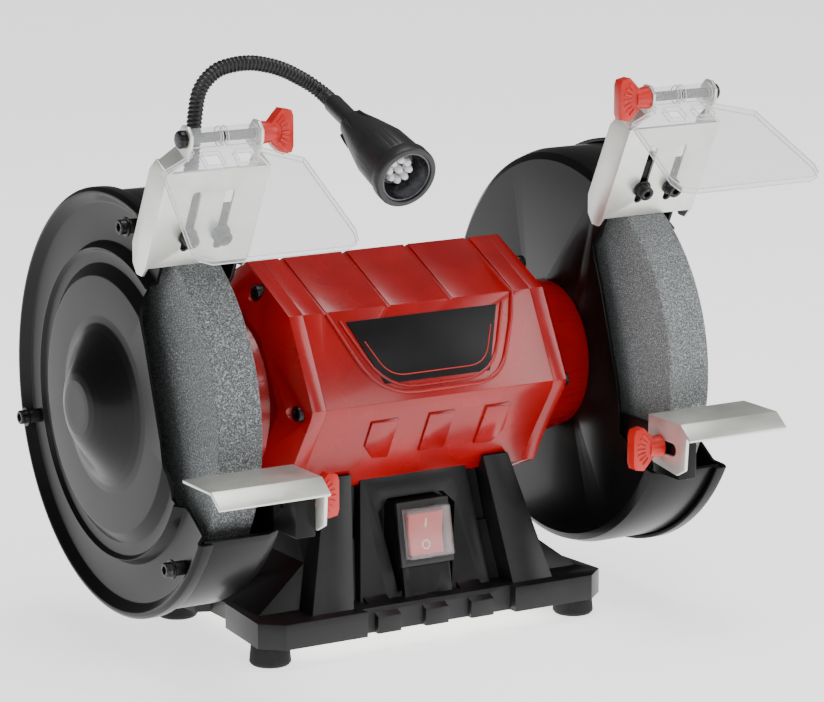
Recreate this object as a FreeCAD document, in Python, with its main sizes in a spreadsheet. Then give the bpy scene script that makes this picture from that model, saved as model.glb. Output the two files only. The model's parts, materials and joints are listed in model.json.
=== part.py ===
import FreeCAD, Part
import math
import os
import re
import Sketcher

# A double-ended bench grinder with two guarded wheels, tool rests, clear eye shields and a lamp.
# X runs along the motor shaft, the front is -Y, +Z is up. The origin is on the bench plane,
# under the feet, midway between them. Sizes are millimetres.

DIMENSIONS = {
    # shaft and wheels
    "shaft_height": 132.5,
    "wheel_radius": 100.0,
    "wheel_width": 25.0,
    "wheel_offset": 135.0,
    "shaft_overhang": 33.0,
    "arbor_radius": 8.0,
    "journal_radius": 8.5,
    "shoulder_radius": 10.5,
    "flange_radius": 27.0,
    "flange_thickness": 4.0,
    "nut_across": 24.0,
    "nut_height": 13.0,
    "fit_clearance": 0.05,
    # motor
    "shell_half_length": 69.0,
    "shell_bore": 53.5,
    "ridge_height": 69.0,
    "bend_depth": 45.0,
    "bend_height": 47.5,
    "crease_depth": 69.0,
    "crease_height": 2.0,
    "step_depth": 67.0,
    "step_height": -3.0,
    "haunch_depth": 46.0,
    "haunch_height": -34.0,
    "belly_depth": 38.0,
    "belly_height": -48.0,
    "keel_depth": 15.0,
    "keel_height": -58.0,
    "groove_width": 3.0,
    "groove_depth": 1.3,
    "groove_outer": 57.0,
    "groove_inner": 19.0,
    "rim_width": 8.0,
    "bell_depth": 11.0,
    "bell_taper": 0.76,
    "bell_cavity": 50.0,
    "hub_radius": 40.0,
    "bell_screw_radius": 2.2,
    "bell_head_radius": 4.0,
    "stator_half_length": 30.0,
    "stator_bore": 31.0,
    "winding_length": 16.0,
    "air_gap": 0.5,
    # bearings
    "bearing_width": 12.0,
    "bearing_setback": 21.0,
    "bearing_radius": 20.0,
    "race_inner": 11.8,
    "race_outer": 16.2,
    "ball_radius": 2.1,
    # guards
    "guard_gauge": 2.0,
    "guard_inset": 24.4,
    "guard_outset": 25.9,
    "wheel_gap": 8.7,
    "drum_gap": 5.3,
    "guard_back": -4.2,
    "guard_rise": 3.6,
    "corner_width": 9.0,
    "lip_width": 9.0,
    "lip_gap": 0.3,
    "cover_gauge": 1.6,
    "channel_outer": 80.5,
    "channel_inner": 72.5,
    "disc_radius": 67.7,
    "channel_depth": 2.4,
    "disc_rise": 1.8,
    "ring_drop": 6.0,
    "ring_inner": 83.5,
    "ring_inset": 5.2,
    "rim_wall": 0.8,
    "rim_rise": 0.9,
    "rim_drop": 1.4,
    "boss_radius": 45.0,
    "boss_rise": 16.0,
    "screw_start": 15.0,
    "screw_inset": 8.9,
    "screw_radius": 2.5,
    "screw_head": 4.6,
    "spacer_length": 6.3,
    "lug_radius": 8.0,
    "lug_length": 4.3,
    "plate_hole": 22.0,
    "mount_circle": 31.0,
    "mount_screw_radius": 2.0,
    # base casting and feet
    "foot_height": 11.3,
    "foot_radius": 11.0,
    "foot_x": 93.5,
    "foot_y": 52.0,
    "bolt_radius": 3.5,
    "bolt_depth": 10.0,
    "plate_height": 13.5,
    "pad_front": 70.0,
    "pad_inner": 45.3,
    "pad_corner": 93.7,
    "pad_side": 105.0,
    "pad_side_front": 60.0,
    "pad_notch_x": 101.0,
    "pad_notch_y": 17.0,
    "waist_x": 93.5,
    "recess_front": 64.0,
    "tower_foot": 27.5,
    "tower_drop": 40.5,
    "face_half_foot": 40.0,
    "face_half_top": 31.7,
    "face_front_foot": 53.0,
    "face_front_top": 38.5,
    "panel_inner_foot": 49.0,
    "panel_outer_foot": 74.0,
    "panel_inner_top": 40.5,
    "panel_outer_top": 56.0,
    "panel_front_foot": 62.0,
    "panel_front_top": 44.5,
    "wing_foot": 99.0,
    "wing_top": 71.0,
    "wing_height": 56.0,
    "wing_front": 48.0,
    "web_depth": 43.0,
    "web_depth_top": 33.0,
    # switch
    "bay_half_top": 16.8,
    "bay_half_shoulder": 23.4,
    "bay_half_foot": 16.5,
    "bay_top": 75.6,
    "bay_shoulder": 69.0,
    "bay_floor": 34.0,
    "switch_face": 49.8,
    "switch_middle": 57.1,
    "switch_lean": 11.0,
    "block_half": 14.5,
    "block_top": 74.0,
    "bezel_half": 16.0,
    "bezel_half_height": 17.2,
    "bezel_thickness": 2.5,
    "pocket_half": 11.5,
    "pocket_half_height": 13.2,
    "rocker_half_width": 10.5,
    "rocker_half_height": 11.2,
    "rocker_depth": 2.5,
    "rocker_tilt": 8.0,
    "pivot_radius": 2.0,
    "boot_half": 13.2,
    "boot_rise": 6.0,
    "boot_wall": 0.8,
    "gland_height": 40.0,
    # spark deflectors and eye shields
    "deflector_lean": 26.5,
    "deflector_shift": 0.8,
    "deflector_inset": 13.63,
    "deflector_angle": 33.37,
    "deflector_half": 28.75,
    "deflector_height": 57.0,
    "deflector_gauge": 1.5,
    "flange_depth": 17.5,
    "slot_spacing": 9.2,
    "slot_radius": 2.6,
    "slot_low": 8.5,
    "slot_high": 44.5,
    "clamp_height": 18.0,
    "ear_offset": 20.3,
    "ear_radius": 7.0,
    "hinge_back": 5.7,
    "hinge_up": 73.1,
    "hinge_bolt_radius": 2.5,
    "barrel_radius": 5.0,
    "shield_thickness": 2.8,
    "shield_length": 78.0,
    "shield_neck": 18.0,
    "shield_shoulder": 39.0,
    "shield_half": 45.0,
    "left_shield_tilt": 37.0,
    "right_shield_tilt": 27.0,
    "window_half": 5.0,
    # knobs
    "knob_hub_radius": 6.0,
    "knob_hub_length": 8.0,
    "knob_length": 18.0,
    "knob_wing": 11.5,
    "knob_thickness": 6.5,
    # tool rests
    "rest_top": -14.0,
    "rest_gap": 1.8,
    "rest_depth": 29.7,
    "rest_inset": 28.0,
    "rest_outset": 34.0,
    "rest_screw_setback": 11.2,
    "arm_reach": 15.0,
    "arm_thickness": 9.4,
    "rest_gauge": 1.8,
    "rest_lip": 9.3,
    "rest_screw_z": -29.0,
    "rest_screw_radius": 3.0,
    "slot_clearance": 0.4,
    "arm_low": -45.0,
    "arm_high": -21.0,
    # lamp
    "neck_y": -35.0,
    "neck_inset": 7.5,
    "neck_rise": 12.3,
    "head_reach": 74.8,
    "head_forward": 10.5,
    "head_rise": 36.5,
    "neck_radius": 4.0,
    "socket_radius": 8.0,
    "socket_flange": 13.0,
    "head_tilt": 110.8,
    "head_length": 82.0,
    "sleeve_length": 23.0,
    "sleeve_radius": 5.0,
    "sleeve_slope": 3.2,
    "ring_radius": 16.5,
    "ring_length": 7.0,
}

# Sizes that follow from the ones above
DERIVED = {
    "shaft_half_length": "wheel_offset + shaft_overhang",
    "bearing_inset": "shell_half_length + bearing_setback",
    "guard_inner": "wheel_offset - guard_inset",
    "guard_outer": "wheel_offset + guard_outset",
    "drum_radius": "wheel_radius + wheel_gap",
    "drum_end": "guard_outer - drum_gap",
    "ring_outer": "drum_radius - ring_inset",
    "rim_inner": "drum_radius - rim_wall",
    "rim_outer": "drum_radius + rim_rise",
    "screw_circle": "drum_radius - screw_inset",
    "tower_top": "shaft_height - tower_drop",
    "deflector_centre": "wheel_offset + deflector_shift",
    "deflector_y": "guard_back - (drum_radius - deflector_inset) * sin(deflector_angle)",
    "deflector_z": "guard_rise + (drum_radius - deflector_inset) * cos(deflector_angle)",
    "rest_inner": "wheel_offset - rest_inset",
    "rest_outer": "wheel_offset + rest_outset",
    "rest_back": "-wheel_radius - rest_gap",
    "rest_front": "rest_back - rest_depth",
    "rest_screw_y": "rest_back - rest_screw_setback",
    "arm_front": "rest_screw_y - arm_reach",
    "arm_inner": "rest_inner + rest_gauge + 2 * fit_clearance",
    "arm_outer": "guard_inner + arm_thickness",
    "neck_x": "neck_inset - wheel_offset",
    "neck_foot": "drum_radius + neck_rise",
    "head_x": "neck_x + head_reach",
    "head_y": "neck_y - head_forward",
    "head_z": "neck_foot + head_rise",
}
ALIASES = set(DIMENSIONS) | set(DERIVED)

document = FreeCAD.newDocument("bench_grinder")
sheet = document.addObject("Spreadsheet::Sheet", "dims")
CELLS = list(DIMENSIONS.items()) + [(alias, "=" + formula) for alias, formula in DERIVED.items()]
for row, (alias, content) in enumerate(CELLS, 1):
    sheet.set("A%d" % row, alias)
    sheet.setAlias("B%d" % row, alias)
    sheet.set("B%d" % row, str(content))
evaluator = document.addObject("App::FeaturePython", "evaluator")
document.recompute()

WORD = re.compile(r"[a-z][a-z0-9_]*")
X_AXIS = FreeCAD.Vector(1, 0, 0)
NODES = []


def bound(expression):
    """The same formula, with each named size pointing at its cell."""
    return WORD.sub(lambda word: "dims." + word.group() if word.group() in ALIASES else word.group(),
                    str(expression))


def size(expression):
    return float(evaluator.evalExpression(bound(expression)))


def bind(item, prop, expression):
    item.setExpression(prop, bound(expression))


def node(item, label):
    item.Label = label
    NODES.append(item)
    return item


def side_x(side, expression):
    """An x that is mirrored for the left side, where side is -1."""
    return "%d * (%s)" % (side, expression)


def side_name(side):
    return "left" if side < 0 else "right"


# Sketches

def new_body(name):
    return document.addObject("PartDesign::Body", name)


def drawing_on(body, role, shift=("0", "0", "0")):
    plane = next(item for item in body.Origin.OriginFeatures if item.Role == role)
    drawing = body.newObject("Sketcher::SketchObject", body.Name + "_sketch")
    drawing.AttachmentSupport = [(plane, "")]
    drawing.MapMode = "FlatFace"
    for letter, expression in zip("xyz", shift):
        bind(drawing, "AttachmentOffset.Base." + letter, expression)
    return drawing


def fix_point(drawing, index, corner, expressions):
    for kind, expression in zip(("DistanceX", "DistanceY"), expressions):
        number = drawing.addConstraint(Sketcher.Constraint(kind, -1, 1, index, corner, size(expression)))
        bind(drawing, "Constraints[%d]" % number, expression)


def add_polygon(drawing, points):
    corners = [FreeCAD.Vector(size(across), size(up), 0) for across, up in points]
    first = drawing.GeometryCount
    count = len(corners)
    for index in range(count):
        line = Part.LineSegment(corners[index], corners[(index + 1) % count])
        drawing.addGeometry(line, False)
    for index in range(count):
        following = first + (index + 1) % count
        drawing.addConstraint(Sketcher.Constraint("Coincident", first + index, 2, following, 1))
        fix_point(drawing, first + index, 1, points[index])


def add_circle(drawing, across, up, radius):
    centre = FreeCAD.Vector(size(across), size(up), 0)
    index = drawing.addGeometry(Part.Circle(centre, FreeCAD.Vector(0, 0, 1), size(radius)), False)
    fix_point(drawing, index, 3, (across, up))
    number = drawing.addConstraint(Sketcher.Constraint("Radius", index, size(radius)))
    bind(drawing, "Constraints[%d]" % number, radius)


def rectangle(low_across, high_across, low_up, high_up):
    return [(low_across, low_up), (high_across, low_up), (high_across, high_up), (low_across, high_up)]


# Features

def feature(body, kind, drawing):
    item = body.newObject("PartDesign::" + kind, body.Name + "_" + kind.lower())
    item.Profile = drawing
    return item


def pad(body, drawing, length, symmetric=False):
    item = feature(body, "Pad", drawing)
    bind(item, "Length", length)
    if symmetric:
        item.SideType = "Symmetric"
    return item


def cut(body, drawing, length):
    """A cut of this whole length, half to each side of the sketch, that has to remove something."""
    document.recompute()
    before = body.Shape.Volume
    item = feature(body, "Pocket", drawing)
    bind(item, "Length", length)
    item.SideType = "Symmetric"
    document.recompute()
    if body.Shape.Volume > before - 1e-3:
        raise RuntimeError("nothing cut from " + body.Name)
    return item


def slab(body, role, points, start, length):
    """A pad of an outline, from start along the plane's normal."""
    drawing = drawing_on(body, role, ("0", "0", start))
    add_polygon(drawing, points)
    return pad(body, drawing, length)


def disc(body, role, across, up, radius, start, length):
    drawing = drawing_on(body, role, ("0", "0", start))
    add_circle(drawing, across, up, radius)
    return pad(body, drawing, length)


def cut_outline(body, role, points, middle, length):
    drawing = drawing_on(body, role, ("0", "0", middle))
    add_polygon(drawing, points)
    return cut(body, drawing, length)


def cut_circles(body, role, places, radius, middle, length):
    drawing = drawing_on(body, role, ("0", "0", middle))
    for across, up in places:
        add_circle(drawing, across, up, radius)
    return cut(body, drawing, length)


def loft(body, role, first, first_at, second, second_at):
    start = drawing_on(body, role, ("0", "0", first_at))
    add_polygon(start, first)
    end = drawing_on(body, role, ("0", "0", second_at))
    add_polygon(end, second)
    item = feature(body, "AdditiveLoft", start)
    item.Sections = [end]
    item.Ruled = True
    return item


def turn(body, points, y="0", z="shaft_height"):
    """A shape turned about a line along X through y, z, from corners of x and radius."""
    drawing = drawing_on(body, "XZ_Plane", ("0", z, "-(%s)" % y))
    add_polygon(drawing, points)
    item = feature(body, "Revolution", drawing)
    item.ReferenceAxis = (drawing, ["H_Axis"])
    item.Angle = 360
    return item


def turned(name, points, y="0", z="shaft_height"):
    body = new_body(name)
    turn(body, points, y, z)
    return body


def turned_up(name, points, x="0", y="0", z="0"):
    """A shape turned about an upright line through x, y, from corners of radius and height."""
    body = new_body(name)
    drawing = drawing_on(body, "XZ_Plane", (x, z, "-(%s)" % y))
    add_polygon(drawing, points)
    item = feature(body, "Revolution", drawing)
    item.ReferenceAxis = (drawing, ["V_Axis"])
    item.Angle = 360
    return body


def group(label, members):
    """Several separate solids that are one node."""
    item = document.addObject("Part::Compound", label)
    item.Links = members
    return node(item, label)


def lean(body, x, y, z, tilt):
    """Stands a body at a point, tipped about X."""
    body.Placement = FreeCAD.Placement(FreeCAD.Vector(), FreeCAD.Rotation(X_AXIS, size(tilt)))
    bind(body, "Placement.Base.x", x)
    bind(body, "Placement.Base.y", y)
    bind(body, "Placement.Base.z", z)
    bind(body, "Placement.Rotation.Angle", tilt)


def sided(side, points):
    return [(side_x(side, x), radius) for x, radius in points]


def washer_points(start, end, inner, outer):
    return [(start, inner), (end, inner), (end, outer), (start, outer)]


def hexagon(y, z, across):
    """The corners of a hexagon of this size across its flats."""
    corners = []
    for index in range(6):
        angle = 60 * index
        corners.append(("(%s) + (%s) / sqrt(3) * cos(%d)" % (y, across, angle),
                        "(%s) + (%s) / sqrt(3) * sin(%d)" % (z, across, angle)))
    return corners


# The motor's section, front and back alike, as corners of y and z

def section(scale="1"):
    half = [("keel_depth", "keel_height"), ("belly_depth", "belly_height"),
            ("haunch_depth", "haunch_height"), ("step_depth", "step_height"),
            ("crease_depth", "crease_height"), ("bend_depth", "bend_height")]
    place = "(%s) * (%s) + shaft_height"
    back = [("(%s) * (%s)" % (scale, depth), place % (scale, height)) for depth, height in half]
    top = [("0", place % (scale, "ridge_height"))]
    front = [("-(%s) * (%s)" % (scale, depth), place % (scale, height)) for depth, height in reversed(half)]
    return back + top + front


BELL_SCREWS = [("17", "55.5"), ("-17", "55.5"), ("60.3", "0"), ("-60.3", "0")]


def shaft_places(places):
    return [(y, "shaft_height + (%s)" % z) for y, z in places]


def motor_shell():
    body = new_body("shell")
    drawing = drawing_on(body, "YZ_Plane")
    add_polygon(drawing, section())
    add_circle(drawing, "0", "shaft_height", "shell_bore")
    pad(body, drawing, "2 * shell_half_length", symmetric=True)
    roof = [("-bend_depth - 1", "shaft_height + bend_height - 1"),
            ("0", "shaft_height + ridge_height - groove_depth"),
            ("bend_depth + 1", "shaft_height + bend_height - 1"),
            ("bend_depth + 1", "shaft_height + ridge_height + 9"),
            ("-bend_depth - 1", "shaft_height + ridge_height + 9")]
    for x in ("-groove_outer", "-groove_inner", "groove_inner", "groove_outer"):
        cut_outline(body, "YZ_Plane", roof, x, "groove_width")
    for side in (-1, 1):
        cut_circles(body, "YZ_Plane", shaft_places(BELL_SCREWS), "bell_screw_radius",
                    side_x(side, "shell_half_length"), "28")
    node(body, "motor_shell")


def end_bell(side):
    body = new_body(side_name(side) + "_bell")
    rim = "shell_half_length" if side > 0 else "-shell_half_length - rim_width"
    slab(body, "YZ_Plane", section(), rim, "rim_width")
    loft(body, "YZ_Plane", section(), side_x(side, "shell_half_length + rim_width"),
         section("bell_taper"), side_x(side, "shell_half_length + rim_width + bell_depth"))
    turn(body, sided(side, [("shell_half_length + rim_width + 2", "0"), ("guard_inner - 0.1", "0"),
                            ("guard_inner - 0.1", "hub_radius"),
                            ("shell_half_length + rim_width + bell_depth", "hub_radius + 4"),
                            ("shell_half_length + rim_width + 2", "hub_radius + 4")]))
    document.recompute()
    drawing = drawing_on(body, "XZ_Plane", ("0", "shaft_height", "0"))
    add_polygon(drawing, sided(side, [
        ("shell_half_length - 1", "0"), ("guard_inner + 1", "0"),
        ("guard_inner + 1", "journal_radius + 1"), ("bearing_inset + bearing_width + 1", "journal_radius + 1"),
        ("bearing_inset + bearing_width + 1", "bearing_radius"), ("bearing_inset - 2", "bearing_radius"),
        ("bearing_inset - 4", "bell_cavity - 14"), ("shell_half_length + rim_width + 2", "bell_cavity"),
        ("shell_half_length - 1", "bell_cavity")]))
    groove = feature(body, "Groove", drawing)
    groove.ReferenceAxis = (drawing, ["H_Axis"])
    groove.Angle = 360
    cut_circles(body, "YZ_Plane", shaft_places(BELL_SCREWS), "bell_screw_radius",
                side_x(side, "shell_half_length + rim_width / 2"), "2 * rim_width")
    cut_circles(body, "YZ_Plane", shaft_places(BELL_SCREWS), "bell_head_radius + 0.3",
                side_x(side, "shell_half_length + rim_width + bell_depth"), "2 * bell_depth")
    holes = [("mount_circle * cos(%d)" % angle, "shaft_height + mount_circle * sin(%d)" % angle)
             for angle in (45, 135, 225, 315)]
    cut_circles(body, "YZ_Plane", holes, "mount_screw_radius + 0.1", side_x(side, "guard_inner"), "20")
    node(body, side_name(side) + "_end_bell")


def end_bell_screws():
    screws = []
    for side in (-1, 1):
        for index, (y, z) in enumerate(BELL_SCREWS):
            name = "bell_screw_%s_%d" % (side_name(side), index)
            points = sided(side, [("shell_half_length - 12", "0"), ("shell_half_length + rim_width + 5", "0"),
                                  ("shell_half_length + rim_width + 5", "bell_head_radius"),
                                  ("shell_half_length + rim_width + 0.05", "bell_head_radius"),
                                  ("shell_half_length + rim_width + 0.05", "bell_screw_radius - 0.1"),
                                  ("shell_half_length - 12", "bell_screw_radius - 0.1")])
            screw = turned(name, points, y, "shaft_height + (%s)" % z)
            cut_outline(screw, "YZ_Plane", hexagon(y, "shaft_height + (%s)" % z, "4"),
                        side_x(side, "shell_half_length + rim_width + 5"), "5")
            screws.append(screw)
    group("end_bell_screws", screws)


def stator():
    core = turned("stator", washer_points("-stator_half_length", "stator_half_length",
                                          "stator_bore", "shell_bore - fit_clearance"))
    node(core, "stator_core")
    coils = [turned("coil_" + side_name(side), sided(side, [
        ("stator_half_length + 0.1", "stator_bore + 3"), ("stator_half_length + winding_length", "stator_bore + 4"),
        ("stator_half_length + winding_length + 2", "stator_bore + 9"),
        ("stator_half_length + winding_length", "shell_bore - 6"), ("stator_half_length + 0.1", "shell_bore - 4")]))
        for side in (-1, 1)]
    group("stator_windings", coils)


def rotor():
    half = [("shaft_half_length", "0"), ("shaft_half_length", "arbor_radius - 1"),
            ("shaft_half_length - 1", "arbor_radius"), ("guard_inner + 5.4", "arbor_radius"),
            ("guard_inner + 5.4", "journal_radius"), ("bearing_inset", "journal_radius"),
            ("bearing_inset", "shoulder_radius")]
    points = sided(1, half) + sided(-1, list(reversed(half)))
    node(turned("spindle", points), "shaft")
    node(turned("lamination", washer_points("-stator_half_length", "stator_half_length",
                                            "shoulder_radius + fit_clearance", "stator_bore - air_gap")),
         "rotor_core")


def bearings():
    end = "bearing_inset + bearing_width"
    outer = [turned("outer_race_" + side_name(side),
                    sided(side, washer_points("bearing_inset", end, "race_outer", "bearing_radius - fit_clearance")))
             for side in (-1, 1)]
    group("bearing_outer_rings", outer)
    inner = [turned("inner_race_" + side_name(side),
                    sided(side, washer_points("bearing_inset + fit_clearance", end,
                                              "journal_radius + fit_clearance", "race_inner")))
             for side in (-1, 1)]
    group("bearing_inner_rings", inner)
    balls = []
    for side in (-1, 1):
        for index in range(9):
            ball = document.addObject("Part::Sphere", "ball")
            bind(ball, "Radius", "ball_radius")
            bind(ball, "Placement.Base.x", side_x(side, "bearing_inset + bearing_width / 2"))
            bind(ball, "Placement.Base.y", "(race_inner + race_outer) / 2 * cos(%d)" % (40 * index))
            bind(ball, "Placement.Base.z",
                 "shaft_height + (race_inner + race_outer) / 2 * sin(%d)" % (40 * index))
            balls.append(ball)
    group("bearing_balls", balls)
    washers = [turned("wave_" + side_name(side),
                      sided(side, washer_points(end + " + 0.1", end + " + 0.8", "bearing_radius - 4",
                                                "bearing_radius - 0.3")))
               for side in (-1, 1)]
    group("preload_washers", washers)


# Wheels and what clamps them

def wheels():
    inner_flanges = []
    outer_flanges = []
    face = "wheel_offset - wheel_width / 2"
    back = "wheel_offset + wheel_width / 2"
    for side in (-1, 1):
        points = [(face, "arbor_radius + fit_clearance"), (back, "arbor_radius + fit_clearance"),
                  (back, "wheel_radius - 1"), (back + " - 1", "wheel_radius"),
                  (face + " + 1", "wheel_radius"), (face, "wheel_radius - 1")]
        node(turned("wheel_" + side_name(side), sided(side, points)), side_name(side) + "_grinding_wheel")
        inner_flanges.append(turned("inner_flange_" + side_name(side), sided(side, [
            ("guard_inner + 5.5", "arbor_radius + fit_clearance"), (face, "arbor_radius + fit_clearance"),
            (face, "flange_radius"), (face + " - flange_thickness", "flange_radius"),
            (face + " - flange_thickness", "arbor_radius + 6"), ("guard_inner + 5.5", "arbor_radius + 6")])))
        outer_flanges.append(turned("outer_flange_" + side_name(side), sided(side, [
            (back, "arbor_radius + fit_clearance"), (back + " + flange_thickness", "arbor_radius + fit_clearance"),
            (back + " + flange_thickness", "flange_radius - 7"), (back + " + 2", "flange_radius"),
            (back, "flange_radius")])))
        start = side_x(side, back + " + flange_thickness + 0.05")
        if side < 0:
            start = start + " - nut_height"
        nut = new_body("nut_" + side_name(side))
        slab(nut, "YZ_Plane", hexagon("0", "shaft_height", "nut_across"), start, "nut_height")
        cut_circles(nut, "YZ_Plane", [("0", "shaft_height")], "arbor_radius + fit_clearance",
                    side_x(side, back + " + flange_thickness"), "3 * nut_height")
        node(nut, side_name(side) + "_wheel_nut")
    group("inner_flanges", inner_flanges)
    group("outer_flanges", outer_flanges)


# Guards: a drum with its inner plate, closed by a pressed cover

def guard_y(expression="0"):
    return "guard_back + (%s)" % expression


def guard_z(expression="0"):
    return "shaft_height + guard_rise + (%s)" % expression


def leaning(up, back):
    """The y and z of a point of the deflector, by its height up the plate and its depth behind it."""
    return ("deflector_y - (%s) * sin(deflector_lean) + (%s) * cos(deflector_lean)" % (up, back),
            "shaft_height + deflector_z + (%s) * cos(deflector_lean) + (%s) * sin(deflector_lean)" % (up, back))


def mouth():
    """The opening at the front of a guard, where work meets the wheel."""
    edge = [("-43", "60.6"), ("-49.5", "44.9"), ("-58.9", "16.7"), ("-65.8", "-3.8"), ("-69", "-20"),
            ("-69.2", "-32.4"), ("-81.3", "-37.1"), ("-99.9", "-49.5"), ("-135", "-49.5")]
    points = [(y, "shaft_height + (%s)" % z) for y, z in edge]
    upper = [leaning("60", "1.8"), leaning("-13", "2.6"), ("-42", "shaft_height + 66")]
    return [("-135", "shaft_height + 140")] + upper + points


# The cover's sunken ring, where its screws stand, and the lugs that take them inside the drum
RING_FACE = "guard_outer - ring_drop"
LUG_END = "guard_outer - ring_drop - cover_gauge - 0.1"


def screw_places():
    places = []
    for turn_angle in (0, 120, 240):
        angle = "(screw_start + %d)" % turn_angle
        places.append((guard_y("-screw_circle * sin%s" % angle), guard_z("screw_circle * cos%s" % angle)))
    return places


def mount_places(angles=(45, 135, 225, 315)):
    return [("mount_circle * cos(%d)" % angle, "shaft_height + mount_circle * sin(%d)" % angle)
            for angle in angles]


def guard_drum(side):
    body = new_body(side_name(side) + "_drum")
    inside = "drum_radius - guard_gauge"
    corner = "guard_inner + corner_width"
    turn(body, sided(side, [
        ("guard_inner", "plate_hole"), ("guard_inner", "drum_radius - 5.7"), ("guard_inner + 2.4", "drum_radius - 2"),
        (corner, "drum_radius"), ("drum_end", "drum_radius"), ("drum_end", inside),
        (corner + " + 0.4", inside), ("guard_inner + 4", "drum_radius - 4"),
        ("guard_inner + guard_gauge", "drum_radius - 6.6"), ("guard_inner + guard_gauge", "plate_hole")]),
        guard_y(), guard_z())
    plug = [("guard_inner", "0"), ("guard_inner + guard_gauge", "0"),
            ("guard_inner + guard_gauge", "mount_circle + 10"), ("guard_inner", "mount_circle + 10")]
    turn(body, sided(side, plug))
    cut_circles(body, "YZ_Plane", [("0", "shaft_height")], "plate_hole", side_x(side, "guard_inner"), "8")
    for y, z in screw_places():
        low = LUG_END + " - lug_length" if side > 0 else "-(%s)" % LUG_END
        disc(body, "YZ_Plane", y, z, "lug_radius", low, "lug_length")
    cut_circles(body, "YZ_Plane", screw_places(), "screw_radius + 0.1", side_x(side, "drum_end"), "16")
    cut_circles(body, "YZ_Plane", mount_places(), "mount_screw_radius + 0.2", side_x(side, "guard_inner"), "8")
    cut_outline(body, "YZ_Plane", mouth(), side_x(side, "wheel_offset"), "90")
    flange = [leaning("4", "1.8"), leaning("34", "1.8"), leaning("34", "3.6"), leaning("4", "3.6")]
    start = "deflector_centre - 15" if side > 0 else "-deflector_centre - 15"
    slab(body, "YZ_Plane", flange, start, "30")
    node(body, side_name(side) + "_guard_drum")


def guard_cover(side):
    body = new_body(side_name(side) + "_cover")
    face = "guard_outer"
    back = "guard_outer - cover_gauge"
    lip = "drum_radius + lip_gap + cover_gauge + 0.8"
    outer = [("%s + disc_rise + boss_rise" % face, "0"), ("%s + disc_rise + boss_rise - 1" % face, "14"),
             ("%s + disc_rise + boss_rise - 5" % face, "28"), ("%s + disc_rise + 4" % face, "boss_radius - 5"),
             ("%s + disc_rise" % face, "boss_radius"), ("%s + disc_rise" % face, "disc_radius"),
             ("%s - channel_depth" % face, "channel_inner"), ("%s - channel_depth" % face, "channel_outer - 2"),
             (face, "channel_outer"), ("%s - ring_drop" % face, "ring_inner"), ("%s - ring_drop" % face, "ring_outer"),
             ("%s - rim_drop" % face, "rim_inner"), ("%s - rim_drop" % face, "rim_outer"),
             ("%s - rim_drop - cover_gauge" % face, lip), ("%s - lip_width" % face, lip),
             ("%s - lip_width" % face, "drum_radius + lip_gap"),
             ("%s - rim_drop - 1.2" % face, "drum_radius + lip_gap")]
    inner = [("%s - ring_drop" % back, "ring_outer + 0.6"), ("%s - ring_drop" % back, "ring_inner - 1"),
             ("%s - 1.3" % back, "channel_outer - 0.35"), ("%s - channel_depth" % back, "channel_outer - 1.5"),
             ("%s - channel_depth" % back, "channel_inner - 1"),
             ("%s + disc_rise" % back, "disc_radius - 1"), ("%s + disc_rise" % back, "boss_radius - 1"),
             ("%s + disc_rise + 4" % back, "boss_radius - 6.5"),
             ("%s + disc_rise + boss_rise - 5" % back, "27"), ("%s + disc_rise + boss_rise - 1" % back, "13.6"),
             ("%s + disc_rise + boss_rise" % back, "0")]
    turn(body, sided(side, outer + inner), guard_y(), guard_z())
    cut_circles(body, "YZ_Plane", screw_places(), "screw_radius + 0.2", side_x(side, "guard_outer"), "16")
    cut_outline(body, "YZ_Plane", mouth(), side_x(side, "guard_outer"), "60")
    node(body, side_name(side) + "_guard_cover")


def cover_fasteners():
    screws = []
    spacers = []
    for side in (-1, 1):
        for index, (y, z) in enumerate(screw_places()):
            name = "%s_%d" % (side_name(side), index)
            seat = RING_FACE + " + spacer_length + 0.1"
            top = seat + " + screw_head"
            tip = LUG_END + " - lug_length - 0.4"
            screw = turned("cover_screw_" + name, sided(side, [
                (tip, "0"), (top, "0"), (top, "3.3"), (top + " - 0.5", "3.8"), (seat + " + 1", "3.8"),
                (seat + " + 1", "5"), (seat, "5"), (seat, "screw_radius"), (tip, "screw_radius")]), y, z)
            cut_outline(screw, "YZ_Plane", hexagon(y, z, "4"), side_x(side, top), "5")
            screws.append(screw)
            spacers.append(turned("spacer_" + name, sided(side, washer_points(
                RING_FACE + " + 0.05", RING_FACE + " + spacer_length", "screw_radius + 0.1", "3.7")), y, z))
    group("cover_screws", screws)
    group("cover_spacers", spacers)


def guard_mount_screws():
    screws = []
    for side in (-1, 1):
        for index, (y, z) in enumerate(mount_places()):
            head = "guard_inner + guard_gauge"
            screws.append(turned("mount_screw_%s_%d" % (side_name(side), index), sided(side, [
                ("guard_inner - 9", "0"), (head + " + 3", "0"), (head + " + 3", "2.5"), (head + " + 2", "3.6"),
                (head + " + 0.05", "3.6"), (head + " + 0.05", "mount_screw_radius"),
                ("guard_inner - 9", "mount_screw_radius")]), y, z))
    group("guard_mount_screws", screws)


# Base

def base_outline():
    quarter = [("pad_inner", "recess_front"), ("pad_inner", "pad_front"), ("pad_corner", "pad_front"),
               ("pad_side", "pad_side_front"), ("pad_notch_x", "pad_notch_y"), ("waist_x", "pad_notch_y - 3")]
    first = [(x, "-(%s)" % y) for x, y in quarter]
    second = [(x, y) for x, y in reversed(quarter)]
    third = [("-(%s)" % x, y) for x, y in quarter]
    fourth = [("-(%s)" % x, "-(%s)" % y) for x, y in reversed(quarter)]
    return first + second + third + fourth


def block(half, depth):
    return rectangle("-(%s)" % half, half, "-(%s)" % depth, depth)


FEET = [(x, y) for x in ("-foot_x", "foot_x") for y in ("-foot_y", "foot_y")]


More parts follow.
